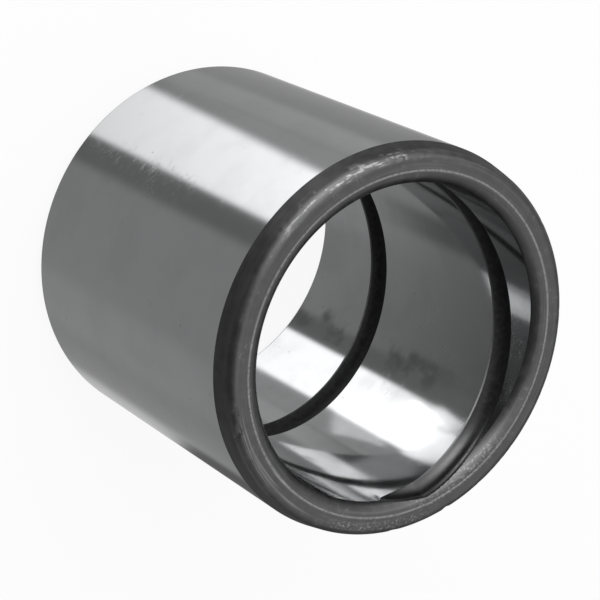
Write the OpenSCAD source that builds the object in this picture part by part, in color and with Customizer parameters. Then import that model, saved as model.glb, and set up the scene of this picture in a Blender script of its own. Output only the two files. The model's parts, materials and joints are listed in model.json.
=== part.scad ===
// Plain sleeve bushing with a helical grease groove in its bore.
// The sleeve stands on its back end: Z is the axis, z = 0 the back face, and the end that is
// pressed in first, with the tapered lead-in, is on top.

/* [Sleeve] */
// Diameter of the bore
bore_d = 65; // [50:0.5:80]
// Thickness of the wall
wall_t = 7.5; // [6:0.25:15]
// Length from face to face
sleeve_l = 80; // [50:1:120]

/* [Ends] */
// Length of the tapered lead-in at the front end
lead_l = 5; // [3:0.25:12]
// How far the lead-in falls in radius over its length
lead_drop = 1; // [0.25:0.05:1.5]
// Radius of the rounded corner between the lead-in and the front face
corner_r = 2; // [0.5:0.1:2.5]
// Chamfer on the outer edge of the back end
back_chamfer = 2.5; // [0.5:0.25:3]
// How far each mouth of the bore flares out in radius
mouth_flare = 2.8; // [0.5:0.1:3]
// Depth of each mouth of the bore along the axis
mouth_l = 2; // [0.5:0.1:5]
// Radius of the rounded flare in each mouth
mouth_arc_r = 3.2; // [3:0.1:8]

/* [Grease groove] */
// Distance along the axis that the groove moves in one turn
groove_pitch = 45; // [30:1:90]
// Depth of the groove below the bore
groove_depth = 2; // [0.5:0.1:3]
// Diameter of the rounded groove section
groove_section_d = 6.5; // [6:0.25:10]
// Angle at which the middle of the groove would reach the front face
groove_start = 28.5; // [0:0.5:360]
// Distance from each face to the middle of the groove where it stops climbing
groove_stop = 2; // [0:0.1:12]
// Angle over which it then runs on around the bore while its depth falls to nothing
groove_runout = 18; // [6:1:60]

/* [Colour] */
// Colour of the steel
steel_colour = "#6F7072"; // [#6F7072:Plain steel, #4A4B4D:Black oxide, #8C8E91:Bright steel]

/* [Hidden] */
// Fineness of the round surfaces in a preview
$fn = 180;
// Angle between one section of the groove and the next
groove_step = 6;
// Number of straight pieces in the rounded groove section
groove_arc_n = 10;
// Distance from the bore at which the groove's sections end, inside the bore
groove_clear = 0.4;

bore_r = bore_d / 2;
outer_r = bore_r + wall_t;
mouth_r = bore_r + mouth_flare;

// The corner arc touches the front face and the slope of the lead-in
lead_slope = atan(lead_drop / lead_l);
corner_z = sleeve_l - corner_r;
corner_x = outer_r - (lead_drop / lead_l) * (lead_l - corner_r) - corner_r / cos(lead_slope);

// The mouth's arc runs from its depth in the bore to its flare in the face, on this centre
mouth_chord = norm([mouth_flare, mouth_l]);
mouth_arc_rise = sqrt(mouth_arc_r * mouth_arc_r - mouth_chord * mouth_chord / 4);
mouth_x = bore_r + mouth_flare / 2 + mouth_arc_rise * mouth_l / mouth_chord;
mouth_z = mouth_l / 2 + mouth_arc_rise * mouth_flare / mouth_chord;

// The groove climbs between two heights, and its sections turn on past its ends until they are
// clear of the bore
groove_r = groove_section_d / 2;
groove_axis_r = bore_r + groove_depth - groove_r;
groove_from = groove_stop;
groove_to = sleeve_l - groove_stop;
groove_n = ceil((groove_to - groove_from) / groove_pitch * 360 / groove_step);
groove_out = groove_runout * (1 + groove_clear / groove_depth);
groove_out_n = ceil(groove_out / groove_step);

// Half section of the wall in radius and height
module wall_section() {
    difference() {
        polygon([
            [bore_r, 0],
            [outer_r - back_chamfer, 0],
            [outer_r, back_chamfer],
            [outer_r, sleeve_l - lead_l],
            [outer_r - lead_drop, sleeve_l],
            [bore_r, sleeve_l]
        ]);
        corner_waste();
        mouth_waste();
        translate([0, sleeve_l])
            mirror([0, 1])
                mouth_waste();
    }
}

// What the corner arc takes away between the lead-in and the front face
module corner_waste() {
    translate([corner_x, corner_z])
        difference() {
            polygon([
                [0, 0],
                [0, 2 * corner_r],
                [2 * corner_r, 2 * corner_r],
                2 * corner_r * [cos(lead_slope), sin(lead_slope)]
            ]);
            circle(r = corner_r);
        }
}

// What the flare takes away at the mouth of the back end
module mouth_waste() {
    difference() {
        polygon([
            [bore_r, mouth_l],
            [bore_r - 1, mouth_l],
            [bore_r - 1, -1],
            [mouth_r, -1],
            [mouth_r, 0]
        ]);
        translate([mouth_x, mouth_z])
            circle(r = mouth_arc_r);
    }
}

// Angle of the groove at a height: it falls as the height grows, so the groove is left-handed
function groove_angle(z) = groove_start + 360 * (sleeve_l - z) / groove_pitch;

// One section of the groove: a half disc in the plane through the axis at an angle
function groove_ring(angle, z, axis_r) = [
    for (i = [0:groove_arc_n])
        let (t = -90 + 180 * i / groove_arc_n, r = axis_r + groove_r * cos(t))
            [r * cos(angle), r * sin(angle), z + groove_r * sin(t)]
];

// The sections of one end, which turns on at its height and rises out of the wall: way is 1 at
// the back end and -1 at the front end, as the angle grows or falls
function groove_end(z, way) = [
    for (k = [1:groove_out_n])
        let (turned = groove_out * k / groove_out_n)
            groove_ring(
                groove_angle(z) + way * turned,
                z,
                groove_axis_r - groove_depth * turned / groove_runout
            )
];

function reversed(list) = [for (k = [len(list) - 1:-1:0]) list[k]];

// The material that the groove takes away, one half disc after the other up the helix
module groove() {
    climb = [
        for (k = [0:groove_n])
            let (z = groove_from + (groove_to - groove_from) * k / groove_n)
                groove_ring(groove_angle(z), z, groove_axis_r)
    ];
    rings = concat(reversed(groove_end(groove_from, 1)), climb, groove_end(groove_to, -1));
    m = groove_arc_n + 1;
    last = len(rings) - 1;
    sides = [
        for (k = [0:last - 1], i = [0:m - 1])
            let (j = (i + 1) % m, a = k * m, b = a + m)
                each [[a + i, b + j, a + j], [a + i, b + i, b + j]]
    ];
    start = [for (i = [0:m - 1]) i];
    end = [for (i = [m - 1:-1:0]) last * m + i];
    points = [for (ring = rings) each ring];
    polyhedron(points = points, faces = concat([start], sides, [end]), convexity = 10);
}

module sleeve() {
    color(steel_colour)
        difference() {
            rotate_extrude() wall_section();
            groove();
        }
}

sleeve();
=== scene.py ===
"""A steel sleeve bushing with a helical grease groove, dressed and set in a plain studio.

The script is laid out as an add-on and run as a script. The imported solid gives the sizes. Lengths
named in millimetres are turned into metres where a mesh or a shader needs them.
"""

import json
import math

import bpy
from bpy.props import FloatProperty, FloatVectorProperty, IntProperty, PointerProperty
from mathutils import Matrix, Vector


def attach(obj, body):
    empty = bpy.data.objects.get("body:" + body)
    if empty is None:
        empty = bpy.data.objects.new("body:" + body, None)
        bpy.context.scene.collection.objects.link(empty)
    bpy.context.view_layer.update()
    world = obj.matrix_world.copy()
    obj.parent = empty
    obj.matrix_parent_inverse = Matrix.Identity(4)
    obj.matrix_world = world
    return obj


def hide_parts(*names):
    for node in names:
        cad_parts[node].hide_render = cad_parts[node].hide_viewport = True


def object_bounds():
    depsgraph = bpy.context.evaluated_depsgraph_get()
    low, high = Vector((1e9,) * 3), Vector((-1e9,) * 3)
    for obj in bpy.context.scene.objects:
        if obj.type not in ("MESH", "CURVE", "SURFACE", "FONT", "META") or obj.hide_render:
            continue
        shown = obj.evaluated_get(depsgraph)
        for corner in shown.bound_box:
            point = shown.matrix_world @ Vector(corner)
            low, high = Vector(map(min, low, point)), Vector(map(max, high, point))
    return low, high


bl_info = {
    "name": "Sleeve Bushing",
    "version": (1, 0, 0),
    "blender": (4, 5, 0),
    "location": "3D View > Sidebar > Bushing",
    "description": "Builds a ground steel sleeve bushing with a grease groove and its studio",
    "category": "Add Mesh",
}

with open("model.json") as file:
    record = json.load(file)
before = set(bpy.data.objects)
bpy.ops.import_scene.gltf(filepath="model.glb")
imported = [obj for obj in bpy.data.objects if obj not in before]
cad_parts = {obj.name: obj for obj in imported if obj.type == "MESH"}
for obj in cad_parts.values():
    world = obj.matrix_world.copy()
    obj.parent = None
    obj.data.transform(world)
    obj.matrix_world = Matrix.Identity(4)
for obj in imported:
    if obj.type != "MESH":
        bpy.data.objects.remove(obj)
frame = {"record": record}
CAD_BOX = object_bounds()
MOUNTS = {mount["name"]: mount for mount in frame["record"]["mounts"]}

MM = 0.001
NODE = "sleeve"
PIECE = "turned_sleeve"


def mount_span(name):
    """Lowest and highest point of a round mount along the sleeve's axis, in millimetres."""
    middle = MOUNTS[name]["pos_m"][2] / MM
    half = MOUNTS[name]["dims"]["length_mm"] / 2
    return middle - half, middle + half


# Settings


class SleeveSizes(bpy.types.PropertyGroup):
    """Sizes of the sleeve in millimetres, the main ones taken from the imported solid."""

    length: FloatProperty(
        name="Length", description="From face to face, in millimetres", default=CAD_BOX[1].z / MM
    )
    outer_radius: FloatProperty(
        name="Outer radius", description="Radius of the ground outside", default=CAD_BOX[1].x / MM
    )
    bore_radius: FloatProperty(
        name="Bore radius",
        description="Radius of the ground bore",
        default=MOUNTS["bore"]["dims"]["r_mm"],
    )
    mouth_depth: FloatProperty(
        name="Mouth depth",
        description="Depth of each flared mouth along the axis",
        default=mount_span("bore")[0],
    )
    mouth_flare: FloatProperty(
        name="Mouth flare", description="How far each mouth flares out in radius", default=2.8
    )
    mouth_arc: FloatProperty(
        name="Mouth arc", description="Radius of the rounded flare in each mouth", default=3.2
    )
    back_chamfer: FloatProperty(
        name="Back chamfer",
        description="Chamfer on the outer edge of the back end",
        default=mount_span("outside")[0],
    )
    lead_start: FloatProperty(
        name="Lead-in start",
        description="Height at which the tapered lead-in begins",
        default=mount_span("outside")[1],
    )
    lead_drop: FloatProperty(
        name="Lead-in drop", description="How far the lead-in falls in radius", default=1.0
    )
    corner_radius: FloatProperty(
        name="Corner radius",
        description="Round between the lead-in and the front face",
        default=2.0,
    )
    edge_break: FloatProperty(
        name="Edge break", description="Small round on the worn edges of the faces", default=0.4
    )
    groove_pitch: FloatProperty(
        name="Groove pitch", description="Travel of the groove in one turn", default=45.0
    )
    groove_depth: FloatProperty(
        name="Groove depth", description="Depth of the groove below the bore", default=2.0
    )
    groove_section: FloatProperty(
        name="Groove section", description="Diameter of the rounded groove section", default=6.5
    )
    groove_start: FloatProperty(
        name="Groove start",
        description="Angle at which the middle of the groove would reach the front face",
        subtype="ANGLE",
        default=math.radians(28.5),
    )
    groove_stop: FloatProperty(
        name="Groove stop",
        description="Distance from each face to the middle of the groove where it stops climbing",
        default=2.0,
    )
    groove_runout: FloatProperty(
        name="Groove run-out",
        description="Angle over which its depth then falls to nothing",
        subtype="ANGLE",
        default=math.radians(18.0),
    )
    columns: IntProperty(
        name="Columns", description="Faces round the sleeve", default=480, min=48
    )


class SleeveFinish(bpy.types.PropertyGroup):
    """Colours of the steel."""

    ground_colour: FloatVectorProperty(
        name="Ground steel",
        description="Colour of the ground outside",
        subtype="COLOR",
        size=4,
        default=(0.44, 0.445, 0.45, 1.0),
    )
    bore_colour: FloatVectorProperty(
        name="Ground bore",
        description="Colour of the ground bore",
        subtype="COLOR",
        size=4,
        default=(0.43, 0.435, 0.44, 1.0),
    )
    dark_colour: FloatVectorProperty(
        name="Dark steel",
        description="Colour of the turned and hardened surfaces that were not ground",
        subtype="COLOR",
        size=4,
        default=(0.135, 0.135, 0.137, 1.0),
    )
    # Bare worn steel, also the colour of the painted highlights on the mouth edges, the front
    # corner and the front mouth's flare
    bare_and_highlight_colour: FloatVectorProperty(
        name="Bare steel",
        description="Colour where an edge or a scuff is worn bright",
        subtype="COLOR",
        size=4,
        default=(0.42, 0.42, 0.42, 1.0),
    )
    groove_colour: FloatVectorProperty(
        name="Groove",
        description="Colour of the old grease that blackens the groove",
        subtype="COLOR",
        size=4,
        default=(0.022, 0.022, 0.0225, 1.0),
    )


class StudioSettings(bpy.types.PropertyGroup):
    """Place of the camera and level of the light."""

    camera_distance: FloatProperty(
        name="Camera distance", unit="LENGTH", description="From the aim point", default=0.46105
    )
    camera_azimuth: FloatProperty(
        name="Camera azimuth",
        description="Turn round the sleeve, 0 looks along +Y",
        subtype="ANGLE",
        default=math.radians(0.025),
    )
    camera_elevation: FloatProperty(
        name="Camera elevation",
        description="Height above the horizon",
        subtype="ANGLE",
        default=math.radians(52.85),
    )
    camera_roll: FloatProperty(
        name="Camera roll",
        description="Turn of the picture, positive turns the sleeve's front to the right",
        subtype="ANGLE",
        default=math.radians(-117.547),
    )
    lens: FloatProperty(name="Lens", unit="CAMERA", description="Focal length", default=132.705)
    floor_glow: FloatProperty(
        name="Floor glow", description="How white the floor looks without light", default=0.92
    )


# Point on the camera's line of sight beside the middle of the sleeve, in millimetres
AIM = Vector((1.182, 1.569, 41.189))


# Node trees


class Wire:
    """A number on its way through a node tree: arithmetic on it adds Math nodes."""

    def __init__(self, tree, socket):
        self.tree = tree
        self.socket = socket

    def math(self, operation, *others):
        node = self.tree.nodes.new("ShaderNodeMath")
        node.operation = operation
        for place, value in enumerate((self, *others)):
            connect(self.tree, value, node.inputs[place])
        return Wire(self.tree, node.outputs[0])

    def __add__(self, other):
        return self.math("ADD", other)

    def __sub__(self, other):
        return self.math("SUBTRACT", other)

    def __rsub__(self, other):
        return (self * -1.0) + other

    def __mul__(self, other):
        return self.math("MULTIPLY", other)

    def __truediv__(self, other):
        return self.math("DIVIDE", other)

    def __rtruediv__(self, other):
        return self.math("POWER", -1.0) * other

    def __gt__(self, other):
        return self.math("GREATER_THAN", other)

    def __lt__(self, other):
        return self.math("LESS_THAN", other)

    def root(self):
        return self.math("SQRT")

    def size(self):
        return self.math("ABSOLUTE")

    def ramp(self, low, high):
        """Rises smoothly from 0 at low to 1 at high, or falls where low is above high."""
        node = self.tree.nodes.new("ShaderNodeMapRange")
        node.interpolation_type = "SMOOTHSTEP"
        up = not (isinstance(low, float) and isinstance(high, float) and low > high)
        ends = (low, high, 0.0, 1.0) if up else (high, low, 1.0, 0.0)
        for place, value in enumerate((self, *ends)):
            connect(self.tree, value, node.inputs[place])
        return Wire(self.tree, node.outputs[0])


def connect(tree, value, socket):
    """Feeds a socket with a wire, another socket or a plain value."""
    if isinstance(value, Wire):
        tree.links.new(value.socket, socket)
    elif isinstance(value, bpy.types.NodeSocket):
        tree.links.new(value, socket)
    else:
        socket.default_value = value


def add_node(tree, kind, settings=None, **inputs):
    """Adds a node. Settings are its own properties, and inputs are named with _ for a space."""
    node = tree.nodes.new(kind)
    for name, value in (settings or {}).items():
        setattr(node, name, value)
    for name, value in inputs.items():
        connect(tree, value, node.inputs[name.replace("_", " ")])
    return node


def wire(node, output=0):
    return Wire(node.id_data, node.outputs[output])


def split(tree, vector):
    """The three numbers of a vector."""
    parts = add_node(tree, "ShaderNodeSeparateXYZ", Vector=vector)
    return [wire(parts, place) for place in range(3)]


def join(tree, x, y, z):
    return add_node(tree, "ShaderNodeCombineXYZ", X=x, Y=y, Z=z).outputs[0]


def hypotenuse(x, y):
    return (x * x + y * y).root()


def noise(tree, place, **inputs):
    """Cloudy noise at a place, about 0.5 on average."""
    return wire(add_node(tree, "ShaderNodeTexNoise", Vector=place, **inputs))


def new_group(name, kind, inputs, outputs):
    """An empty node group with its sockets.

    Inputs are (name, socket type, default) and outputs are (name, socket type).
    """
    tree = bpy.data.node_groups.new(name, kind)
    for label, socket_type, default in inputs:
        socket = tree.interface.new_socket(label, in_out="INPUT", socket_type=socket_type)
        if default is not None:
            socket.default_value = default
    for label, socket_type in outputs:
        tree.interface.new_socket(label, in_out="OUTPUT", socket_type=socket_type)
    return tree, tree.nodes.new("NodeGroupInput"), tree.nodes.new("NodeGroupOutput")


# The sleeve's mesh

GROOVE_ROWS = 24  # rows of faces across the rounded part of the groove
LAND_ROWS = 6  # rows of faces between the groove and half a pitch away from it, on each side
MOUTH_ROWS = 20  # rows of faces in each mouth, close enough to show where the groove runs out
CORNER_ROWS = 14  # rows of faces in the round between the lead-in and the front face
BREAK_ROWS = 4  # rows of faces in each small round of a worn edge
OUTSIDE_ROWS = 8  # rows of faces along the ground outside
EDGE_CUT = 0.12  # half width of the small cut along each edge of the groove, in millimetres
SUPPORT = 0.05  # distance of the row that keeps the flat beside a round flat, in millimetres
WELD = 0.004  # points closer than this are one point, in millimetres
NEAR = 0.01  # a face this close to a surface belongs to it, in millimetres
SHARP = math.radians(9.0)  # faces that meet at more than this keep their edge
KNOCK_DEPTH = 0.12  # depth of the deepest knock, in millimetres
KNOCK_WIDTH = 3.6  # how far in from the outside knocks begin, in millimetres
KNOCK_LENGTH = 2.6  # how far down from the front face they end, in millimetres


def spread(start, end, count):
    """Points in equal steps from one point to another, without the last."""
    return [start.lerp(end, step / count) for step in range(count)]


def rounded(before, corner, after, radius, count):
    """A corner turned into an arc, with a support point on each side of it."""
    back, on = (before - corner).normalized(), (after - corner).normalized()
    half = math.acos(max(-1.0, min(1.0, back.dot(on)))) / 2
    reach = radius / math.tan(half)
    centre = corner + (back + on).normalized() * (radius / math.sin(half))
    first = (corner + back * reach - centre).normalized()
    last = (corner + on * reach - centre).normalized()
    arc = [centre + first.slerp(last, step / count) * radius for step in range(count + 1)]
    return [arc[0] + back * SUPPORT, *arc, arc[-1] + on * SUPPORT]


def arc_between(start, end, radius, count):
    """Points on an arc, without the last, with its centre to the right of the way to the end."""
    way = end - start
    rise = math.sqrt(radius * radius - way.length_squared / 4)
    centre = (start + end) / 2 + Vector((way.y, -way.x)).normalized() * rise
    first, last = (start - centre).normalized(), (end - centre).normalized()
    return [centre + first.slerp(last, step / count) * radius for step in range(count)]


def outside_profile(sizes):
    """Half section from the front end of the bore over the outside to the back end of the bore."""
    bore, outer, length = sizes.bore_radius, sizes.outer_radius, sizes.length
    mouth = bore + sizes.mouth_flare
    front_bore = Vector((bore, length - sizes.mouth_depth))
    front_mouth = Vector((mouth, length))
    front_corner = Vector((outer - sizes.lead_drop, length))
    lead = Vector((outer, sizes.lead_start))
    chamfer = Vector((outer, sizes.back_chamfer))
    back_corner = Vector((outer - sizes.back_chamfer, 0.0))
    back_mouth = Vector((mouth, 0.0))
    back_bore = Vector((bore, sizes.mouth_depth))

    small = sizes.edge_break
    front_round = rounded(front_mouth, front_corner, lead, sizes.corner_radius, CORNER_ROWS)
    chamfer_edge = rounded(lead, chamfer, back_corner, small, BREAK_ROWS)
    back_edge = rounded(chamfer, back_corner, back_mouth, small, BREAK_ROWS)
    return [
        *arc_between(front_bore, front_mouth, sizes.mouth_arc, MOUTH_ROWS),
        front_mouth,
        *front_round,
        *spread(lead, chamfer_edge[0], OUTSIDE_ROWS),
        *chamfer_edge,
        *back_edge,
        *arc_between(back_mouth, back_bore, sizes.mouth_arc, MOUTH_ROWS),
        back_bore,
    ]


def profile_object(sizes):
    """The half section as a chain of edges in the XZ plane, for the node tree to turn."""
    points = outside_profile(sizes)
    mesh = bpy.data.meshes.new(PIECE)
    edges = [(index, index + 1) for index in range(len(points) - 1)]
    mesh.from_pydata([(point.x * MM, 0.0, point.y * MM) for point in points], edges, [])
    turned = bpy.data.objects.new(PIECE, mesh)
    bpy.context.scene.collection.objects.link(turned)
    return turned


def tree_values(sizes):
    """What the sleeve's node tree is given, in metres and radians."""
    return {
        "Length": sizes.length * MM,
        "Bore Radius": sizes.bore_radius * MM,
        "Outer Radius": sizes.outer_radius * MM,
        "Mouth Depth": sizes.mouth_depth * MM,
        "Groove Pitch": sizes.groove_pitch * MM,
        "Groove Depth": sizes.groove_depth * MM,
        "Groove Section Radius": sizes.groove_section / 2 * MM,
        "Groove Start": sizes.groove_start,
        "Groove Stop": sizes.groove_stop * MM,
        "Groove Run-out": sizes.groove_runout,
        "Edge Cut": EDGE_CUT * MM,
        "Knock Depth": KNOCK_DEPTH * MM,
        "Columns": sizes.columns,
    }


def position(tree):
    return tree.nodes.new("GeometryNodeInputPosition").outputs[0]


def moved(tree, mesh, **change):
    """The mesh with its points at another Position, or moved by an Offset."""
    return add_node(tree, "GeometryNodeSetPosition", Geometry=mesh, **change).outputs[0]


def flipped(tree, mesh):
    return add_node(tree, "GeometryNodeFlipFaces", Mesh=mesh).outputs[0]


def knocked(tree, mesh, outer_radius, length, deepest):
    """Knocks along the front corner, only ever inwards."""
    place = position(tree)
    x, y, z = split(tree, place)
    radius = hypotenuse(x, y)
    on_corner = (radius - (outer_radius - KNOCK_WIDTH * MM)).ramp(0.0, 0.8 * MM)
    on_corner = on_corner * (length - z).ramp(KNOCK_LENGTH * MM, 1.0 * MM)
    dents = noise(tree, place, Scale=420.0, Detail=2.0).ramp(0.55, 0.75)
    stretches = noise(tree, place, Scale=95.0, Detail=1.0).ramp(0.48, 0.62)
    inward = dents * stretches * on_corner * deepest * -1.0
    return moved(tree, mesh, Offset=join(tree, x / radius * inward, y / radius * inward, inward))


def shaded(tree, mesh):
    """Smooth faces that keep every real edge."""
    smooth = add_node(tree, "GeometryNodeSetShadeSmooth", Geometry=mesh).outputs[0]
    bend = tree.nodes.new("GeometryNodeInputMeshEdgeAngle")
    return add_node(
        tree,
        "GeometryNodeSetShadeSmooth",
        {"domain": "EDGE"},
        Geometry=smooth,
        Selection=wire(bend) > SHARP,
        Shade_Smooth=False,
    ).outputs[0]


def sleeve_tree(values, materials):
    """Turns the half section, lays the bore along the groove's helix and sinks the groove."""
    inputs = [("Half Section", "NodeSocketGeometry", None)]
    for name, value in values.items():
        inputs.append((name, "NodeSocketInt" if name == "Columns" else "NodeSocketFloat", value))
    outputs = [("Sleeve", "NodeSocketGeometry")]
    tree, given, result = new_group("Turned Sleeve", "GeometryNodeTree", inputs, outputs)

    def get(name):
        return Wire(tree, given.outputs[name])

    full_turn = 2 * math.pi
    pitch, sleeve_length, start = get("Groove Pitch"), get("Length"), get("Groove Start")
    section, stop = get("Groove Section Radius"), get("Groove Stop")
    column_angle = full_turn / get("Columns")

    def helix_height(angle):
        return sleeve_length - (angle - start) * pitch / full_turn

    def groove_middle(height):
        """Where the groove runs for a height on the endless helix, and how deep it is there."""
        climbed = height.math("MAXIMUM", stop).math("MINIMUM", sleeve_length - stop)
        turned = (height - climbed).size() / pitch * full_turn
        return climbed, get("Groove Depth") * (1.0 - turned / get("Groove Run-out"))

    def groove_radius(angle, height):
        """Radius of the groove's floor or wall at a place, or 0 beside the groove."""
        offset = (height - helix_height(angle)).math("WRAP", pitch / 2.0, pitch / -2.0)
        middle, depth = groove_middle(height - offset)
        across = height - middle
        reach = (section * section - across * across).math("MAXIMUM", 0.0).root()
        return (get("Bore Radius") + depth - section + reach) * (across.size() < section)

    def grid(columns, rows):
        """A sheet whose points know how far they are across and along it, from 0 to 1."""
        vertices = {"Vertices_X": columns, "Vertices_Y": rows}
        sheet = add_node(tree, "GeometryNodeMeshGrid", Size_X=1.0, Size_Y=1.0, **vertices)
        across, along, _ = split(tree, position(tree))
        return sheet.outputs["Mesh"], across + 0.5, along + 0.5

    # Until the groove sinks them, both sheets hold angle, radius and height as x, y and z.
    # The turned sheet follows the half section row by row.
    half_section = given.outputs["Half Section"]
    rows = wire(add_node(tree, "GeometryNodeAttributeDomainSize", Geometry=half_section))
    sheet, across, along = grid(get("Columns") + 1.0, rows)
    sampled = add_node(
        tree,
        "GeometryNodeSampleIndex",
        {"data_type": "FLOAT_VECTOR"},
        Geometry=half_section,
        Value=position(tree),
        Index=(along * (rows - 1.0)).math("ROUND"),
    )
    radius, _, height = split(tree, sampled.outputs[0])
    turned_place = join(tree, across * full_turn, radius, height)
    turned = flipped(tree, moved(tree, sheet, Position=turned_place))

    # The bore's sheet winds down along the helix, one pitch wide, with the groove in its middle
    steps = (sleeve_length / pitch + 1.0) * get("Columns")
    steps = steps.math("CEIL") + 1.0
    first = ((start - math.pi) / column_angle).math("FLOOR") * column_angle
    row_count = GROOVE_ROWS + 2 * LAND_ROWS + 2
    sheet, across, along = grid(steps + 1.0, row_count + 1)
    angle = first + across * steps * column_angle
    row = (along * float(row_count)).math("ROUND") - row_count / 2
    side, step = row.math("SIGN"), row.size()
    helix = helix_height(angle)
    middle, depth = groove_middle(helix)
    rim = (depth * (section * 2.0 - depth)).math("MAXIMUM", 0.0).root()
    inner, outer = (rim - get("Edge Cut")).math("MAXIMUM", 0.0), rim + get("Edge Cut")
    swing = (inner / section).math("ARCSINE")
    in_groove = middle + side * (swing * step / (GROOVE_ROWS / 2)).math("SINE") * section
    share = (step - (GROOVE_ROWS / 2 + 1)) / LAND_ROWS
    beside, far = middle + side * outer, helix + side * pitch / 2.0
    on_land = beside + (far - beside) * share
    height = in_groove + (on_land - in_groove) * (step > GROOVE_ROWS / 2 + 0.5)
    height = height.math("MAXIMUM", helix - pitch / 2.0).math("MINIMUM", helix + pitch / 2.0)
    height = height.math("MAXIMUM", get("Mouth Depth"))
    height = height.math("MINIMUM", sleeve_length - get("Mouth Depth"))
    bore_place = join(tree, angle, get("Bore Radius"), height)
    bore = flipped(tree, moved(tree, sheet, Position=bore_place))

    joined = tree.nodes.new("GeometryNodeJoinGeometry")
    for part in (turned, bore):
        tree.links.new(part, joined.inputs[0])

    # The groove sinks both sheets wherever it is deeper than they are
    angle, radius, height = split(tree, position(tree))
    sunk = radius.math("MAXIMUM", groove_radius(angle, height))
    round_place = join(tree, sunk * angle.math("COSINE"), sunk * angle.math("SINE"), height)
    shaped = moved(tree, joined.outputs[0], Position=round_place)
    welded = add_node(
        tree, "GeometryNodeMergeByDistance", Geometry=shaped, Distance=WELD * MM
    ).outputs[0]
    dented = knocked(tree, welded, get("Outer Radius"), sleeve_length, get("Knock Depth"))
    real = add_node(
        tree, "GeometryNodeRealizeInstances", Geometry=shaded(tree, dented)
    ).outputs[0]

    # One finish for each kind of surface, told apart by where a face lies
    x, y, z = split(tree, position(tree))
    radius = hypotenuse(x, y)
    choices = {
        "dark": radius > 0.0,
        "groove": radius < groove_radius(y.math("ARCTAN2", x), z) + NEAR * MM,
        "bore": radius < get("Bore Radius") + NEAR * MM,
        "ground": radius > get("Outer Radius") - NEAR * MM,
    }
    finished = real
    for name, chosen in choices.items():
        finished = add_node(
            tree,
            "GeometryNodeSetMaterial",
            Geometry=finished,
            Selection=chosen,
            Material=materials[name],
        ).outputs[0]
    tree.links.new(finished, result.inputs[0])
    return tree


def turn_sleeve(sizes, materials):
    """Makes the sleeve as one plain mesh."""
    turned = profile_object(sizes)
    values = tree_values(sizes)
    tree = sleeve_tree(values, materials)
    modifier = turned.modifiers.new("Turned Sleeve", "NODES")
    modifier.node_group = tree
    for item in tree.interface.items_tree:
        if item.in_out == "INPUT" and item.name in values:
            modifier[item.identifier] = values[item.name]
    bpy.context.view_layer.update()
    evaluated = turned.evaluated_get(bpy.context.evaluated_depsgraph_get())
    made = bpy.data.meshes.new_from_object(evaluated)
    turned.modifiers.clear()
    turned.data = made
    made.name = PIECE
    return turned


# Finishes

# Places on the sleeve where marks and painted highlights are: middle angle and half width in
# degrees
# Bright nicks on the front corner, with a painted highlight on the side where the corner catches
# the light
NICKS_AND_CORNER_HIGHLIGHT = (232, 30)
# Bright burrs in the front mouth's flare, with painted flecks of highlight on the side where the
# flare catches the light
BURRS_AND_FLARE_HIGHLIGHT = (58, 24)
STAMPED = (24, 21)
TURNED = (322, 40)
# The same with the lowest and highest height and the fade in millimetres
SCUFFED = (260, 9, 14, 48, 6)
STAINED = (84, 8, 2, 58, 6)
# The same with both heights counted from the front face
WIPED = (44, 42, -8.0, 9.0, 2.0)
# Lowest and highest height and fade of each mark on the front end, counted from the front face
ON_FRONT = (-2.4, 9.0, 0.5)
MARK_CORE = 0.55  # share of a mark's half width over which it is at full strength
FACE_DEPTH = 2.2  # how far down from a face its scuffs reach, in millimetres


def new_material(name):
    """A material with its shader ready, and the object's own coordinates in millimetres."""
    material = bpy.data.materials.new(name)
    material.use_nodes = True
    tree = material.node_tree
    place = tree.nodes.new("ShaderNodeTexCoord").outputs["Object"]
    in_mm = add_node(
        tree, "ShaderNodeVectorMath", {"operation": "SCALE"}, Vector=place, Scale=1 / MM
    )
    return material, tree, tree.nodes["Principled BSDF"], in_mm.outputs[0]


def stretched_noise(tree, place, round_scale, axial_scale, **inputs):
    """Noise with one scale round the sleeve and another along its axis, without a seam."""
    stretch = add_node(tree, "ShaderNodeVectorMath", {"operation": "MULTIPLY"}, Vector=place)
    stretch.inputs[1].default_value = (round_scale, round_scale, axial_scale)
    return noise(tree, stretch.outputs[0], Scale=1.0, **inputs)


def mix_colour(tree, share, first, second):
    node = add_node(tree, "ShaderNodeMix", {"data_type": "RGBA"})
    connect(tree, share, node.inputs["Factor"])
    connect(tree, first, node.inputs[6])
    connect(tree, second, node.inputs[7])
    return node.outputs[2]


def scaled(colour, factor):
    return [min(1.0, channel * factor) for channel in colour[:3]] + [1.0]


def bump(tree, height, strength, distance):
    """A normal from a height. The distance is in millimetres."""
    relief = {"Height": height, "Strength": strength, "Distance": distance * MM}
    return add_node(tree, "ShaderNodeBump", **relief).outputs[0]


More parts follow.
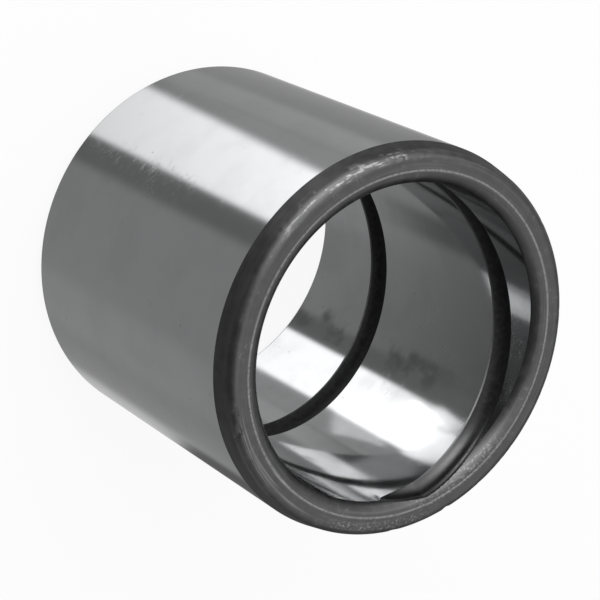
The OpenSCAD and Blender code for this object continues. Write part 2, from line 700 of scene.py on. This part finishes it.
def smudge_group():
    """Handling marks on ground steel: soft clouds, small specks, fine scratches and grinding."""
    number = "NodeSocketFloat"
    tree, given, result = new_group(
        "Smudges",
        "ShaderNodeTree",
        [
            ("Place", "NodeSocketVector", None),
            ("Cloud Scale", number, 0.09),
            ("Speck Share", number, 0.3),
        ],
        [("Clouds", number), ("Specks", number), ("Scratches", number), ("Grinding", number)],
    )
    place = given.outputs["Place"]
    scale = Wire(tree, given.outputs["Cloud Scale"])
    clouds = noise(tree, place, Scale=scale, Detail=4.0, Roughness=0.55).ramp(0.42, 0.7)

    cells = add_node(tree, "ShaderNodeTexVoronoi", Vector=place, Scale=0.33, Randomness=1.0)
    chance = split(tree, cells.outputs["Color"])[0]
    specks = wire(cells).ramp(0.11, 0.05) * (chance < Wire(tree, given.outputs["Speck Share"]))

    lines = stretched_noise(tree, place, 0.5, 2.6, Detail=1.0, Distortion=0.6)
    patches = noise(tree, place, Scale=0.11, Detail=1.0).ramp(0.58, 0.68)
    scratches = (lines - 0.5).size().ramp(0.006, 0.001) * patches

    grinding = stretched_noise(tree, place, 0.02, 5.0, Detail=3.0)
    for index, mark in enumerate((clouds, specks, scratches, grinding)):
        connect(tree, mark, result.inputs[index])
    return tree


def use_group(tree, group, **inputs):
    return add_node(tree, "ShaderNodeGroup", {"node_tree": group}, **inputs)


def place_window(tree, place, middle, half, low, high, fade):
    """1 on part of the sleeve, round an angle in degrees and between two heights, and 0 off it."""
    x, y, z = split(tree, place)
    way = math.radians(middle)
    along = (x * math.cos(way) + y * math.sin(way)) / hypotenuse(x, y)
    rim, core = math.cos(math.radians(half)), math.cos(math.radians(half * MARK_CORE))
    turned = along.ramp(rim, core)
    return turned * z.ramp(low - fade, low + fade) * z.ramp(high + fade, high - fade)


def ground_steel(name, colour, smudges, roughness, cloud_depth, stained, scuffed):
    """Ground and handled steel: bright, nearly smooth, with clouds and specks on it.

    It has one stained place or none and one scuffed place or none.
    """
    material, tree, shader, place = new_material(name)
    marks = use_group(tree, smudges, Place=place)
    clouds, specks, scratches, grinding = (wire(marks, index) for index in range(4))
    dull = clouds * cloud_depth + specks * 0.5
    if stained:
        blots = noise(tree, place, Scale=0.17, Detail=2.0, Roughness=0.5).ramp(0.4, 0.66)
        dull = dull + blots * place_window(tree, place, *stained) * 0.85
    dull = dull.math("MINIMUM", 1.0)
    rough = dull * 0.12 + scratches * 0.2 + (grinding - 0.5) * 0.06 + roughness
    if scuffed:
        rubs = stretched_noise(tree, place, 0.45, 0.8, Detail=5.0, Roughness=0.68, Distortion=0.8)
        rough = rough + rubs.ramp(0.52, 0.66) * place_window(tree, place, *scuffed) * 0.13
    tone = mix_colour(tree, dull, list(colour), scaled(colour, 0.5))
    tone = mix_colour(tree, scratches * 0.6, tone, scaled(colour, 1.35))
    connect(tree, tone, shader.inputs["Base Color"])
    connect(tree, rough, shader.inputs["Roughness"])
    shader.inputs["Metallic"].default_value = 1.0
    relief = grinding * 0.4 + scratches
    connect(tree, bump(tree, relief, 0.12, 0.02), shader.inputs["Normal"])
    return material


def dark_steel(finish, sizes):
    """Turned and hardened steel, scuffed on the face and worn bright along its edges, with
    highlights painted on the mouth edges, the front corner and the front mouth's flare.
    """
    material, tree, shader, place = new_material("dark_steel")
    x, y, z = split(tree, place)
    radius = hypotenuse(x, y)
    mouth = sizes.bore_radius + sizes.mouth_flare
    end = sizes.length
    rim = sizes.outer_radius - sizes.lead_drop
    mottle = noise(tree, place, Scale=0.4, Detail=6.0, Roughness=0.6)
    streaks = stretched_noise(tree, place, 0.22, 1.8, Detail=4.0, Roughness=0.6)
    chips = noise(tree, place, Scale=1.6, Detail=3.0, Roughness=0.7)
    ring_place = join(tree, x * 0.05, y * 0.05, radius * 2.4 + z * 1.2)
    rings = noise(tree, ring_place, Scale=1.0, Detail=3.0, Roughness=0.6)
    knock_place = join(tree, x * 0.3, y * 0.3, radius * 1.7)
    knocks = noise(tree, knock_place, Scale=1.0, Detail=4.0, Roughness=0.65)

    def band(low, high, soft):
        """1 between two radii."""
        return radius.ramp(low - soft, low + soft) * radius.ramp(high + soft, high - soft)

    def around(middle, half):
        """1 round an angle at the front end."""
        low, high, fade = ON_FRONT
        return place_window(tree, place, middle, half, end + low, end + high, fade)

    front, back = z - (end - FACE_DEPTH), FACE_DEPTH - z
    on_face = front.ramp(0.0, FACE_DEPTH) + back.ramp(0.0, FACE_DEPTH)
    # A bright line round the mouth edge of each face: bare worn steel and a painted highlight,
    # drawn all the way round
    lip = (radius - mouth).size().ramp(0.35, 0.05) * on_face * chips.ramp(0.2, 0.6) * 0.75
    # The nicks are wear plus a painted highlight on the lit side of the corner
    nicks_and_painted_highlight = knocks.ramp(0.53, 0.62) * band(rim - 1.3, rim + 0.4, 0.3) * around(*NICKS_AND_CORNER_HIGHLIGHT)
    # The burrs are wear plus painted flecks of highlight on the lit side of the flare
    burrs_and_painted_flecks = chips.ramp(0.5, 0.66) * band(mouth - 2.0, mouth + 0.6, 0.3) * around(*BURRS_AND_FLARE_HIGHLIGHT)
    stamps = chips.ramp(0.52, 0.64) * band(mouth + 1.0, rim - 0.9, 0.3) * around(*STAMPED)
    lines = rings.ramp(0.56, 0.66) * on_face * (around(*TURNED) * 0.3 + 0.08)
    rare = mottle.ramp(0.56, 0.7) * chips.ramp(0.5, 0.7) * on_face * 0.35
    # Everything drawn in bare steel: wear, stamps and turning lines, with painted highlights in the
    # lip, the nicks and the burrs
    bright = lip + nicks_and_painted_highlight * 0.75 + burrs_and_painted_flecks * 0.45 + stamps * 0.75 + lines + rare
    tone = mottle.ramp(0.3, 0.7) * 0.5 + rings.ramp(0.3, 0.7) * 0.5
    dark = finish.dark_colour
    base = mix_colour(tree, tone, scaled(dark, 0.84), scaled(dark, 1.18))
    worn_and_highlit = mix_colour(tree, bright.math("MINIMUM", 1.0), base, list(finish.bare_and_highlight_colour))
    connect(tree, worn_and_highlit, shader.inputs["Base Color"])
    connect(tree, mottle.ramp(0.2, 0.8) * 0.14 + 0.34, shader.inputs["Roughness"])
    shader.inputs["Metallic"].default_value = 1.0
    relief = streaks * 0.4 + rings * 0.5 + (chips * 0.5 + (nicks_and_painted_highlight + stamps) * 0.8) * on_face
    connect(tree, bump(tree, relief, 0.35, 0.08), shader.inputs["Normal"])
    return material


def groove_steel(finish, sizes):
    """The milled groove, black with old grease and wiped bare by its front run-out."""
    material, tree, shader, place = new_material("groove_steel")
    grain = noise(tree, place, Scale=0.9, Detail=5.0, Roughness=0.6)
    middle, half, low, high, fade = WIPED
    end = sizes.length
    wiped = place_window(tree, place, middle, half, end + low, end + high, fade)
    grease = finish.groove_colour
    tone = mix_colour(tree, grain.ramp(0.35, 0.75), list(grease), scaled(grease, 1.9))
    tone = mix_colour(tree, wiped, tone, list(finish.dark_colour))
    connect(tree, tone, shader.inputs["Base Color"])
    rough = grain.ramp(0.2, 0.8) * 0.12 + 0.4 - wiped * 0.12
    connect(tree, rough, shader.inputs["Roughness"])
    connect(tree, wiped, shader.inputs["Metallic"])
    shader.inputs["Specular IOR Level"].default_value = 0.2
    connect(tree, bump(tree, grain, 0.3, 0.08), shader.inputs["Normal"])
    return material


def make_materials(sizes, finish):
    smudges = smudge_group()
    outside, bore = finish.ground_colour, finish.bore_colour
    return {
        "ground": ground_steel("ground_outside", outside, smudges, 0.11, 0.1, None, SCUFFED),
        "bore": ground_steel("ground_bore", bore, smudges, 0.09, 0.15, STAINED, None),
        "dark": dark_steel(finish, sizes),
        "groove": groove_steel(finish, sizes),
    }


# The studio


def upright(left, right, top, bottom):
    """Corners of a card that has level and upright edges."""
    return (left, top), (right, top), (right, bottom), (left, bottom)


# What the steel mirrors: plain cards round the sleeve in a grey room. Each card has its corners as
# azimuth and elevation in degrees, counted from +X towards +Y and up from the horizon, from its
# upper left one on clockwise as the sleeve sees it. Then come its level of white at its middle,
# how much brighter it gets per degree up, and how soft its level edges and its upright ones are,
# in degrees. A later card lies over the ones before it.
CARDS = (
    ("dark room behind the camera", upright(-5, -175, 72, -14), 0.12, 0.0, (14, 14)),
    ("tall softbox", upright(-117, -160, 58, -4), 1.7, 0.0, (9, 4)),
    ("pale wall behind, left part", upright(192, 104, 4, -25), 0.55, 0.0, (7, 9)),
    ("pale wall behind, right part", upright(-128, -192, 4, -25), 0.55, 0.0, (7, 9)),
    ("tall window on the right", upright(22, -14, 4, -25), 0.6, 0.0, (7, 7)),
    ("lower part of the tall softbox", upright(-128, -146, 6, -25), 1.4, 0.0, (7, 3)),
    ("dark corner on the right", upright(18, -5, -44, -51.4), 0.12, 0.0, (0.9, 7)),
    ("pale wall on the right", upright(10, -26, -51.6, -89), 0.42, 0.0, (0.9, 8)),
    ("pale wall on the left", upright(179, 156, -50, -70), 0.44, 0.012, (2, 5)),
    ("glow beside the softbox", upright(-158, -184, -48.1, -57), 0.48, 0.0, (1.2, 5)),
    ("glow beside the background", upright(109, 77, -49.5, -89), 0.62, 0.0, (2.5, 8)),
    ("white background", upright(99, 77, -50.5, -89), 0.8, 0.0, (1.2, 2.5)),
    ("white table", upright(85, 49, -53.5, -89), 0.62, 0.0, (0.4, 8)),
    ("dark table edge", upright(77, 50, -44, -53.5), 0.13, 0.0, (0.4, 5)),
    ("gap beside the softbox", upright(-100, -120, -35, -80), 0.21, 0.0, (3, 4)),
    (
        "upper end of the low softbox",
        ((-130, -47.6), (-158, -47.3), (-158, -53.2), (-130, -53.2)),
        2.7,
        0.0,
        (1.3, 2.5),
    ),
    (
        "low softbox",
        ((-116.5, -48.8), (-147.7, -47.2), (-184.4, -66), (-122.5, -66)),
        1.7,
        0.116,
        (1.3, 2.2),
    ),
)
# Level of the room by elevation in degrees: below, towards the horizon and above it
ROOM_GREY, HORIZON_GREY, SKY_GREY = 0.37, 0.17, 0.8
HORIZON_FADE = (-53.0, -47.5)
SKY_FADE = (-5.0, 60.0)

FLOOR_REACH = 3000  # from the sleeve to each edge of the floor, in millimetres

# Lit patches of table close to the back end, which only mirrored rays see: middle and size in
# millimetres and level of white. Where they overlap, their light adds up.
LIT_PATCHES = (
    ((-25.9, -6.6, -3.0), (10.5, 22.5), 4.4),
    ((-20.0, 9.5, -3.2), (19.5, 16.0), 0.6),
    ((-22.8, -21.1, -3.4), (11.5, 10.5), 0.9),
)
PATCH_TURN = 35  # turn of the patches, in degrees
PATCH_FADE = 1.5  # width of their soft edge, in millimetres

# The one lamp, a square: place, aim and width in millimetres and power in watts
LAMP_PLACE, LAMP_AIM = (-420, -260, 620), (0, 0, 60)
LAMP_WIDTH, LAMP_POWER = 800, 3.0

SENSOR_WIDTH = 36.0  # in millimetres
CLIP_START, CLIP_END = 0.01, 20.0  # nearest and farthest point that the camera sees, in metres


def card_group():
    """How much of a card is seen in a direction: 1 on it, 0 off it."""
    number, vector = "NodeSocketFloat", "NodeSocketVector"
    edges = [f"Edge {index + 1}" for index in range(4)]
    tree, given, result = new_group(
        "Card",
        "ShaderNodeTree",
        [("Place", vector, None), *((edge, vector, None) for edge in edges)],
        [("Share", number)],
    )
    share = 1.0
    for edge in edges:
        node = add_node(tree, "ShaderNodeVectorMath", {"operation": "DOT_PRODUCT"})
        connect(tree, given.outputs["Place"], node.inputs[0])
        connect(tree, given.outputs[edge], node.inputs[1])
        share = wire(node, "Value").ramp(-1.0, 1.0) * share
    tree.links.new(share.socket, result.inputs[0])
    return tree


def card_edges(corners, softness):
    """Three factors for each edge, to be multiplied with (azimuth, elevation, 1) and added up.

    The sum says how far inside the edge a direction is, counted in softnesses of the edge.
    """
    edges = []
    for index, start in enumerate(corners):
        way = Vector(corners[(index + 1) % 4]) - Vector(start)
        inward = Vector((-way.y, way.x)).normalized()
        edge = Vector((inward.x, inward.y, -inward.dot(Vector(start)))) / softness[index % 2]
        edges.append(edge)
    return edges


def make_world():
    """White to the camera. The steel sees a grey room with cards in it."""
    world = bpy.data.worlds.new("studio")
    bpy.context.scene.world = world
    world.use_nodes = True
    tree = world.node_tree
    east, north, up = split(tree, tree.nodes.new("ShaderNodeTexCoord").outputs["Generated"])
    azimuth = north.math("ARCTAN2", east) * math.degrees(1.0)
    elevation = up.math("ARCSINE") * math.degrees(1.0)
    place = join(tree, azimuth, elevation, 1.0)
    level = elevation.ramp(*HORIZON_FADE) * (HORIZON_GREY - ROOM_GREY) + ROOM_GREY
    level = level + elevation.ramp(*SKY_FADE) * (SKY_GREY - HORIZON_GREY)
    card = card_group()
    for name, corners, white, rise, softness in CARDS:
        edges = enumerate(card_edges(corners, softness))
        shown = use_group(tree, card, Place=place, **{f"Edge_{n + 1}": edge for n, edge in edges})
        shown.label = name
        middle = sum(corner[1] for corner in corners) / len(corners)
        level = level + ((elevation - middle) * rise + white - level) * wire(shown)
    seen = wire(tree.nodes.new("ShaderNodeLightPath"), "Is Camera Ray")
    background = tree.nodes["Background"]
    background.inputs["Color"].default_value = (1.0, 1.0, 1.0, 1.0)
    connect(tree, level + (1.0 - level) * seen, background.inputs["Strength"])


def stage_sheet(name, finish, across, along):
    """A level rectangle of the studio, by its half sizes in metres, with an empty material."""
    corners = [(-across, -along), (across, -along), (across, along), (-across, along)]
    mesh = bpy.data.meshes.new(name)
    mesh.from_pydata([(x, y, 0.0) for x, y in corners], [], [(0, 1, 2, 3)])
    sheet = bpy.data.objects.new(name, mesh)
    bpy.context.scene.collection.objects.link(sheet)
    material = bpy.data.materials.new(finish)
    material.use_nodes = True
    tree = material.node_tree
    tree.nodes.remove(tree.nodes["Principled BSDF"])
    mesh.materials.append(material)
    return sheet, tree


def add_shaders(tree, first, second):
    both = tree.nodes.new("ShaderNodeAddShader")
    for place, shader in enumerate((first, second)):
        tree.links.new(shader.outputs[0], both.inputs[place])
    return both


def make_floor(glow):
    """A floor that is white to the camera but for the sleeve's shadow, and isn't mirrored."""
    floor, tree = stage_sheet("floor", "pale_floor", FLOOR_REACH * MM, FLOOR_REACH * MM)
    matt = add_node(tree, "ShaderNodeBsdfDiffuse", Color=(0.8, 0.8, 0.8, 1.0))
    faint = add_node(tree, "ShaderNodeBsdfDiffuse", Color=(1 - glow, 1 - glow, 1 - glow, 1.0))
    glowing = add_node(tree, "ShaderNodeEmission", Strength=glow)
    white = add_shaders(tree, faint, glowing)
    seen = wire(tree.nodes.new("ShaderNodeLightPath"), "Is Camera Ray")
    pick = tree.nodes.new("ShaderNodeMixShader")
    connect(tree, seen, pick.inputs[0])
    tree.links.new(matt.outputs[0], pick.inputs[1])
    tree.links.new(white.outputs[0], pick.inputs[2])
    tree.links.new(pick.outputs[0], tree.nodes["Material Output"].inputs[0])
    floor.visible_glossy = False
    floor.visible_shadow = False


def make_lit_patch(middle, size, level):
    """A see-through sheet that adds light to the mirrored rays that pass it."""
    across, along = size[0] / 2 * MM, size[1] / 2 * MM
    patch, tree = stage_sheet("lit_patch", "lit_patch", across, along)
    patch.location = Vector(middle) * MM
    patch.rotation_euler.z = math.radians(PATCH_TURN)
    x, y, _ = split(tree, tree.nodes.new("ShaderNodeTexCoord").outputs["Object"])
    fade = PATCH_FADE * MM
    inside = x.size().ramp(across, across - fade) * y.size().ramp(along, along - fade)
    glowing = add_node(tree, "ShaderNodeEmission", Strength=inside * level)
    both = add_shaders(tree, tree.nodes.new("ShaderNodeBsdfTransparent"), glowing)
    tree.links.new(both.outputs[0], tree.nodes["Material Output"].inputs[0])
    patch.visible_camera = False
    patch.visible_diffuse = False
    patch.visible_shadow = False


def make_lamp():
    light = bpy.data.lights.new("key", "AREA")
    light.shape = "SQUARE"
    light.size = LAMP_WIDTH * MM
    light.energy = LAMP_POWER
    lamp = bpy.data.objects.new("key", light)
    lamp.location = Vector(LAMP_PLACE) * MM
    lamp.rotation_mode = "QUATERNION"
    to_sleeve = Vector(LAMP_AIM) - Vector(LAMP_PLACE)
    lamp.rotation_quaternion = to_sleeve.to_track_quat("-Z", "Y")
    bpy.context.scene.collection.objects.link(lamp)


def make_camera(studio):
    """The photograph's camera, fitted to the ellipses of the sleeve's ends."""
    turn, rise = studio.camera_azimuth, studio.camera_elevation
    away = math.cos(rise)
    back = Vector((math.sin(turn) * away, -math.cos(turn) * away, math.sin(rise)))
    right = Vector((0, 0, 1)).cross(back).normalized()
    turned = Matrix((right, back.cross(right), back)).transposed()
    turned = turned @ Matrix.Rotation(-studio.camera_roll, 3, "Z")
    camera = bpy.data.objects.new("camera", bpy.data.cameras.new("camera"))
    camera.data.sensor_width = SENSOR_WIDTH
    camera.data.lens = studio.lens
    camera.data.clip_start, camera.data.clip_end = CLIP_START, CLIP_END
    place = Matrix.Translation(AIM * MM + back * studio.camera_distance)
    camera.matrix_world = place @ turned.to_4x4()
    bpy.context.scene.collection.objects.link(camera)
    bpy.context.scene.camera = camera


# Operators and panel


class BUSHING_OT_turn_sleeve(bpy.types.Operator):
    """Turn the sleeve, sink its grease groove and give it its finishes"""

    bl_idname = "bushing.turn_sleeve"
    bl_label = "Turn Sleeve"

    def execute(self, context):
        scene = context.scene
        materials = make_materials(scene.bushing_sizes, scene.bushing_finish)
        sleeve = turn_sleeve(scene.bushing_sizes, materials)
        if not sleeve.data.polygons:
            raise RuntimeError("the sleeve came out empty")
        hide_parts(NODE)
        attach(sleeve, "root")
        return {"FINISHED"}


class BUSHING_OT_set_studio(bpy.types.Operator):
    """Set the floor, the light and the camera"""

    bl_idname = "bushing.set_studio"
    bl_label = "Set Studio"

    def execute(self, context):
        studio = context.scene.bushing_studio
        context.scene.view_settings.view_transform = "Standard"
        make_world()
        make_floor(studio.floor_glow)
        for patch in LIT_PATCHES:
            make_lit_patch(*patch)
        make_lamp()
        make_camera(studio)
        return {"FINISHED"}


class BUSHING_PT_panel(bpy.types.Panel):
    """Buttons and settings of the bushing"""

    bl_idname = "BUSHING_PT_panel"
    bl_label = "Sleeve Bushing"
    bl_space_type = "VIEW_3D"
    bl_region_type = "UI"
    bl_category = "Bushing"

    def draw(self, context):
        layout = self.layout
        layout.operator("bushing.turn_sleeve")
        layout.operator("bushing.set_studio")
        for settings in (
            context.scene.bushing_sizes,
            context.scene.bushing_finish,
            context.scene.bushing_studio,
        ):
            box = layout.box()
            for name in settings.__annotations__:
                box.prop(settings, name)


CLASSES = (
    SleeveSizes,
    SleeveFinish,
    StudioSettings,
    BUSHING_OT_turn_sleeve,
    BUSHING_OT_set_studio,
    BUSHING_PT_panel,
)


def register():
    for cls in CLASSES:
        bpy.utils.register_class(cls)
    bpy.types.Scene.bushing_sizes = PointerProperty(type=SleeveSizes)
    bpy.types.Scene.bushing_finish = PointerProperty(type=SleeveFinish)
    bpy.types.Scene.bushing_studio = PointerProperty(type=StudioSettings)


def unregister():
    del bpy.types.Scene.bushing_studio
    del bpy.types.Scene.bushing_finish
    del bpy.types.Scene.bushing_sizes
    for cls in reversed(CLASSES):
        bpy.utils.unregister_class(cls)


def main():
    register()
    bpy.ops.bushing.turn_sleeve()
    bpy.ops.bushing.set_studio()


if __name__ == "__main__":
    main()
